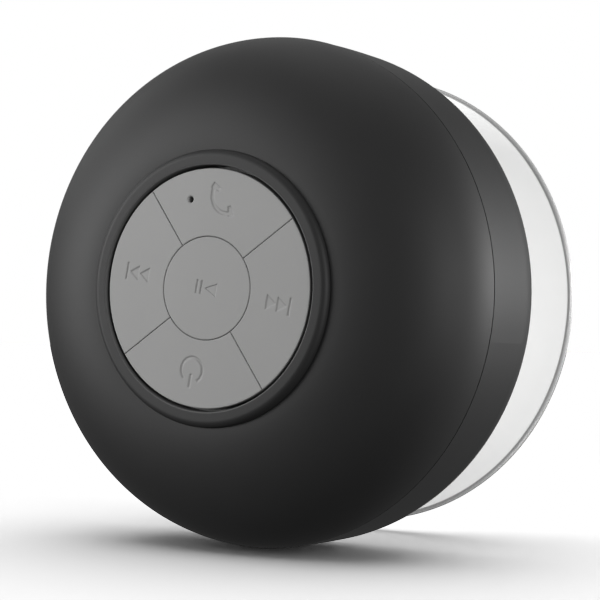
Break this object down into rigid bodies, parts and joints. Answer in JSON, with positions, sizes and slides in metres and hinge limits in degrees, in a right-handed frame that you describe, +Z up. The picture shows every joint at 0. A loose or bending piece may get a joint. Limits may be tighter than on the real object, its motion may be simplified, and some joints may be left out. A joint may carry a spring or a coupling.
{
  "type": "shower speaker",
  "caption": "Round domed wireless speaker with a silicone keypad on the front and a twist-on suction cup that holds it to a tiled wall",
  "frame": {"origin": "centre of the suction cup's sealing plane, on the body's axis", "axes": "+Y points into the wall, -Y is the keypad side, +Z is up (the call key), +X is to the right seen from the front (the next key)"},
  "size_m": [0.0854, 0.0542, 0.0854],
  "materials": {
    "shell": "soft-touch matte",
    "keypad": "matte silicone",
    "cup": "satin translucent white",
    "hub": "satin",
    "seal": "satin",
    "board": "solder mask",
    "switch": "matte",
    "steel": "bright zinc",
    "cell": "foil pouch",
    "foam": "closed-cell foam",
    "ferrite": "matt",
    "paper": "pressed pulp",
    "coil": "enamelled copper",
    "cloth": "treated cloth",
    "mesh": "woven",
    "wire": "satin",
    "inner_plastic": "matte"
  },
  "bodies": {
    "wall_mount": {"suction_cup": "cup", "cup_hub": "hub"},
    "housing": {"front_shell": "shell", "rear_shell": "shell", "shell_seal": "seal", "shell_screws": "steel", "keypad_membrane": "keypad", "key_clamp_ring": "inner_plastic", "switch_bodies": "switch", "key_board": "board", "key_board_screws": "steel", "microphone": "steel", "microphone_boot": "seal", "battery": "cell", "battery_pad": "foam", "driver_frame": "steel", "front_plate": "steel", "driver_magnet": "ferrite", "yoke": "steel", "driver_surround": "seal", "driver_spider": "cloth", "driver_gasket": "foam", "driver_screws": "steel", "sound_mesh": "mesh", "main_board": "board", "main_board_screws": "steel", "radio_module": "steel", "charging_socket": "steel", "plug_tether": "seal", "battery_leads": "wire", "speaker_leads": "wire", "keypad_ribbon": "inner_plastic"},
    "play_button": {"play_key": "keypad", "play_switch": "switch"},
    "call_button": {"call_key": "keypad", "call_switch": "switch"},
    "previous_button": {"previous_key": "keypad", "previous_switch": "switch"},
    "next_button": {"next_key": "keypad", "next_switch": "switch"},
    "power_button": {"power_key": "keypad", "power_switch": "switch"},
    "plug": {"port_plug": "seal"},
    "cone": {"driver_cone": "paper", "dust_cap": "paper", "voice_coil": "coil"}
  },
  "joints": [
    {"name": "twist_lock", "type": "hinge", "parent": "wall_mount", "child": "housing", "pos_m": [0, -0.02, 0], "axis": [0, -1, 0], "range_deg": [0, 45]},
    {"name": "play_press", "type": "slide", "parent": "housing", "child": "play_button", "axis": [0, 1, 0], "range_m": [0, 0.0004], "stiffness_N_per_m": 4000, "deforming": ["keypad_membrane"]},
    {"name": "call_press", "type": "slide", "parent": "housing", "child": "call_button", "axis": [0, 1, 0], "range_m": [0, 0.0004], "stiffness_N_per_m": 4000, "deforming": ["keypad_membrane"]},
    {"name": "previous_press", "type": "slide", "parent": "housing", "child": "previous_button", "axis": [0, 1, 0], "range_m": [0, 0.0004], "stiffness_N_per_m": 4000, "deforming": ["keypad_membrane"]},
    {"name": "next_press", "type": "slide", "parent": "housing", "child": "next_button", "axis": [0, 1, 0], "range_m": [0, 0.0004], "stiffness_N_per_m": 4000, "deforming": ["keypad_membrane"]},
    {"name": "power_press", "type": "slide", "parent": "housing", "child": "power_button", "axis": [0, 1, 0], "range_m": [0, 0.0004], "stiffness_N_per_m": 4000, "deforming": ["keypad_membrane"]},
    {"name": "port_plug_hinge", "type": "hinge", "parent": "housing", "child": "plug", "pos_m": [0, -0.0195, -0.0338], "axis": [-1, 0, 0], "range_deg": [0, 110]},
    {"name": "cone_travel", "type": "slide", "parent": "housing", "child": "cone", "axis": [0, 1, 0], "range_m": [-0.001, 0.001], "stiffness_N_per_m": 1500, "deforming": ["driver_surround", "driver_spider"]}
  ]
}
